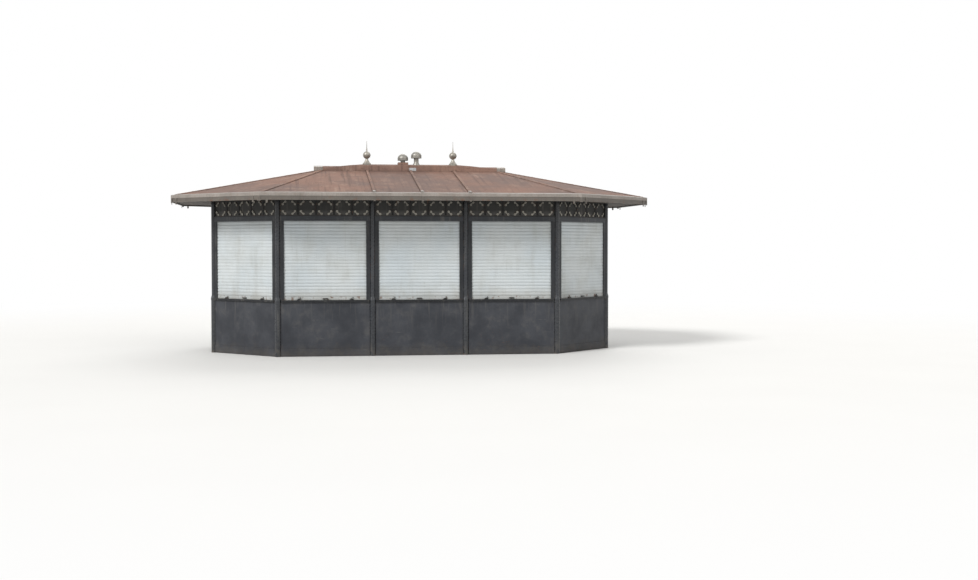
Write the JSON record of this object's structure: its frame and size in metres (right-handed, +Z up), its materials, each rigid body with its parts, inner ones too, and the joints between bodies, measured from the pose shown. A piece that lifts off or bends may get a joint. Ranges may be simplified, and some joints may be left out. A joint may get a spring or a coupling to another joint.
{
  "type": "park kiosk",
  "caption": "Long octagonal park kiosk of painted steel with closed roller shutters, scrollwork frieze, low hipped sheet roof, ball finials and vent cowls.",
  "frame": {"origin": "centre of the kiosk's outline on the ground", "axes": "+X along the front to the right, +Y from the front to the back, +Z up"},
  "size_m": [9.5256, 5.9256, 4.29],
  "materials": {
    "floor": "smooth cast slab",
    "columns": "dark charcoal gloss paint",
    "aprons": "dark charcoal paint, dusty",
    "rails": "near black paint",
    "guides": "near black paint",
    "roll_boxes": "near black paint",
    "locks": "black paint",
    "shutters": "pale blue-grey coated steel laths",
    "frieze": "weathered dark paint on castings",
    "ring_beam": "dark paint",
    "soffit": "dark stained boards",
    "fascia": "weathered light grey paint",
    "roof": "faded red-brown paint on sheet metal",
    "roof_trim": "faded red-brown paint on sheet metal",
    "finials": "dull pale grey metal",
    "cowls": "dull pale grey metal"
  },
  "bodies": {
    "root": {"floor_slab": "floor", "columns": "columns", "apron_front": "aprons", "apron_back": "aprons", "apron_ends": "aprons", "apron_corners": "aprons", "sill_rails": "rails", "shutter_guides": "guides", "transoms": "rails", "roll_boxes": "roll_boxes", "shutter_locks": "locks", "shutter_front_left": "shutters", "shutter_front_middle": "shutters", "shutter_front_right": "shutters", "shutter_right_front_corner": "shutters", "shutter_right_end": "shutters", "shutter_right_back_corner": "shutters", "shutter_back_left": "shutters", "shutter_back_middle": "shutters", "shutter_back_right": "shutters", "shutter_left_back_corner": "shutters", "shutter_left_end": "shutters", "shutter_left_front_corner": "shutters", "frieze_front": "frieze", "frieze_back": "frieze", "frieze_ends": "frieze", "frieze_corners": "frieze", "ring_beam_long": "ring_beam", "ring_beam_ends": "ring_beam", "ring_beam_corners": "ring_beam", "soffit_long": "soffit", "soffit_ends": "soffit", "soffit_corners": "soffit", "fascia_long": "fascia", "fascia_ends": "fascia", "fascia_corners": "fascia", "fascia_straps": "fascia", "roof_front": "roof", "roof_back": "roof", "roof_ends": "roof", "roof_corners": "roof", "seams": "roof_trim", "hip_strips": "roof_trim", "ridge_box": "roof_trim", "finials": "finials", "vent_cowls": "cowls"}
  },
  "joints": []
}
